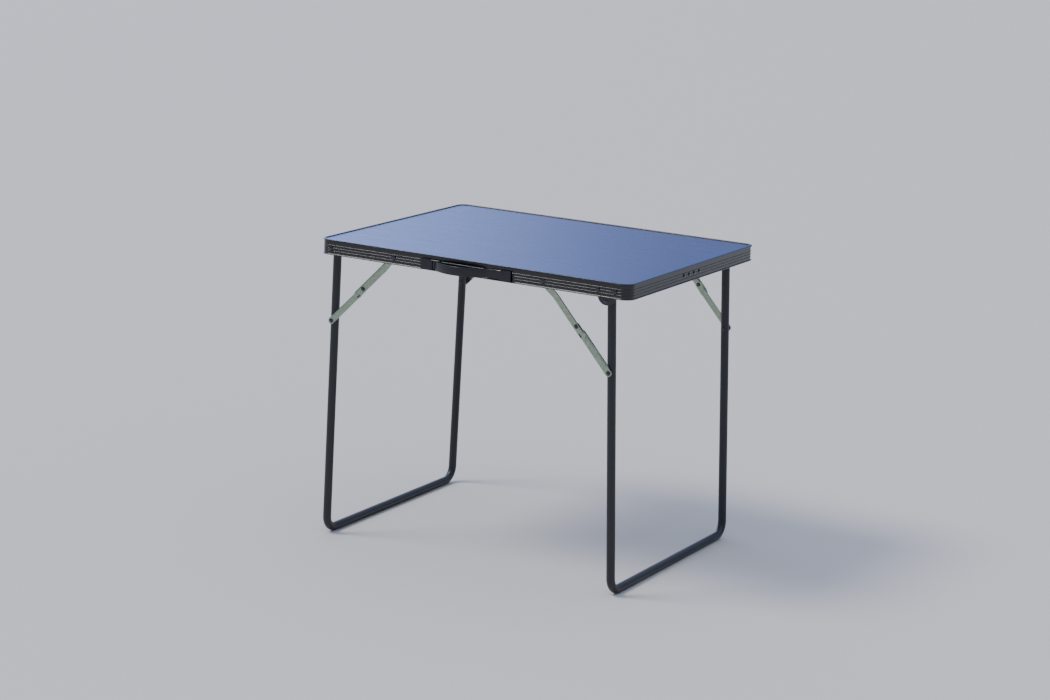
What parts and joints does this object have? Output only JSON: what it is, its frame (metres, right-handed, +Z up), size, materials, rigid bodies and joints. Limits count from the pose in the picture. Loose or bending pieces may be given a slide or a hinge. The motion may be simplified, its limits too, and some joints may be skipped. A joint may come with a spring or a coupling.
{
  "type": "folding picnic table",
  "caption": "Folding picnic table: laminate board in a ribbed metal rail with a carrying strap, on tube leg frames that swing up under it, held by folding braces.",
  "frame": {"origin": "centre of the whole footprint, on the ground", "axes": "+Z up, +X along the table's length, -Y towards the side with the carrying handle"},
  "size_m": [0.8, 0.6288, 0.7],
  "materials": {
    "laminate": "satin slate melamine laminate with a faint streaked grain",
    "fibreboard": "raw fibreboard with a sealed brown underside",
    "rail": "satin black coated extrusion",
    "joiner": "mill finish",
    "rivet": "gloss black",
    "bracket": "satin black powder coat",
    "nylon": "moulded nylon",
    "handle": "fine-textured moulded plastic",
    "leg": "satin black powder coat",
    "plug": "moulded plastic",
    "brace": "zinc plated",
    "washer": "zinc plated"
  },
  "bodies": {
    "tabletop": {"board_core": "fibreboard", "top_laminate": "laminate", "edge_rail": "rail", "rail_joiner": "joiner", "joiner_rivets": "rivet", "drop_bracket_front": "bracket", "drop_bracket_rear": "bracket", "bracket_rivets": "rivet", "left_hinge_rivets": "rivet", "right_hinge_rivets": "rivet", "left_hinge_spacers": "nylon", "right_hinge_spacers": "nylon", "brace_anchor_rivets": "rivet", "handle_plate_left": "handle", "handle_plate_right": "handle", "handle_strap": "handle", "handle_rivets": "rivet"},
    "left_legs": {"left_leg_frame": "leg", "left_tube_plugs": "plug", "left_brace_spacers": "nylon", "left_brace_rivets": "rivet"},
    "upper_brace_front_left": {"upper_link_front_left": "brace", "knee_rivet_front_left": "rivet", "knee_washer_front_left": "washer"},
    "lower_brace_front_left": {"lower_link_front_left": "brace", "knee_collar_front_left": "rivet"},
    "upper_brace_back_left": {"upper_link_back_left": "brace", "knee_rivet_back_left": "rivet", "knee_washer_back_left": "washer"},
    "lower_brace_back_left": {"lower_link_back_left": "brace", "knee_collar_back_left": "rivet"},
    "right_legs": {"right_leg_frame": "leg", "right_tube_plugs": "plug", "right_brace_spacers": "nylon", "right_brace_rivets": "rivet"},
    "upper_brace_front_right": {"upper_link_front_right": "brace", "knee_rivet_front_right": "rivet", "knee_washer_front_right": "washer"},
    "lower_brace_front_right": {"lower_link_front_right": "brace", "knee_collar_front_right": "rivet"},
    "upper_brace_back_right": {"upper_link_back_right": "brace", "knee_rivet_back_right": "rivet", "knee_washer_back_right": "washer"},
    "lower_brace_back_right": {"lower_link_back_right": "brace", "knee_collar_back_right": "rivet"}
  },
  "joints": [
    {"name": "left_legs_fold", "type": "hinge", "parent": "tabletop", "child": "left_legs", "pos_m": [-0.368, 0.01365, 0.68], "axis": [0, -1, 0], "range_deg": [0, 91.5]},
    {"name": "upper_brace_front_left_turn", "type": "hinge", "parent": "tabletop", "child": "upper_brace_front_left", "pos_m": [-0.19817, 0.01365, 0.681], "axis": [0, -1, 0], "range_deg": [0, 135.53]},
    {"name": "lower_brace_front_left_turn", "type": "hinge", "parent": "left_legs", "child": "lower_brace_front_left", "pos_m": [-0.37245, 0.01365, 0.51023], "axis": [0, -1, 0], "range_deg": [-135.53, 0]},
    {"name": "upper_brace_back_left_turn", "type": "hinge", "parent": "tabletop", "child": "upper_brace_back_left", "pos_m": [-0.19817, 0.01365, 0.681], "axis": [0, -1, 0], "range_deg": [0, 135.53]},
    {"name": "lower_brace_back_left_turn", "type": "hinge", "parent": "left_legs", "child": "lower_brace_back_left", "pos_m": [-0.37245, 0.01365, 0.51023], "axis": [0, -1, 0], "range_deg": [-135.53, 0]},
    {"name": "right_legs_fold", "type": "hinge", "parent": "tabletop", "child": "right_legs", "pos_m": [0.341, 0.01365, 0.657], "axis": [0, 1, 0], "range_deg": [0, 92.5]},
    {"name": "upper_brace_front_right_turn", "type": "hinge", "parent": "tabletop", "child": "upper_brace_front_right", "pos_m": [0.18501, 0.01365, 0.681], "axis": [0, 1, 0], "range_deg": [0, 130.6]},
    {"name": "lower_brace_front_right_turn", "type": "hinge", "parent": "right_legs", "child": "lower_brace_front_right", "pos_m": [0.34788, 0.01365, 0.49932], "axis": [0, 1, 0], "range_deg": [-130.6, 0]},
    {"name": "upper_brace_back_right_turn", "type": "hinge", "parent": "tabletop", "child": "upper_brace_back_right", "pos_m": [0.18501, 0.01365, 0.681], "axis": [0, 1, 0], "range_deg": [0, 130.6]},
    {"name": "lower_brace_back_right_turn", "type": "hinge", "parent": "right_legs", "child": "lower_brace_back_right", "pos_m": [0.34788, 0.01365, 0.49932], "axis": [0, 1, 0], "range_deg": [-130.6, 0]}
  ],
  "couplings": [
    {"joint": "upper_brace_front_left_turn", "follows": "left_legs_fold", "ratio": 1.481},
    {"joint": "lower_brace_front_left_turn", "follows": "left_legs_fold", "ratio": -1.481},
    {"joint": "upper_brace_back_left_turn", "follows": "left_legs_fold", "ratio": 1.481},
    {"joint": "lower_brace_back_left_turn", "follows": "left_legs_fold", "ratio": -1.481},
    {"joint": "upper_brace_front_right_turn", "follows": "right_legs_fold", "ratio": 1.4118},
    {"joint": "lower_brace_front_right_turn", "follows": "right_legs_fold", "ratio": -1.4118},
    {"joint": "upper_brace_back_right_turn", "follows": "right_legs_fold", "ratio": 1.4118},
    {"joint": "lower_brace_back_right_turn", "follows": "right_legs_fold", "ratio": -1.4118}
  ]
}
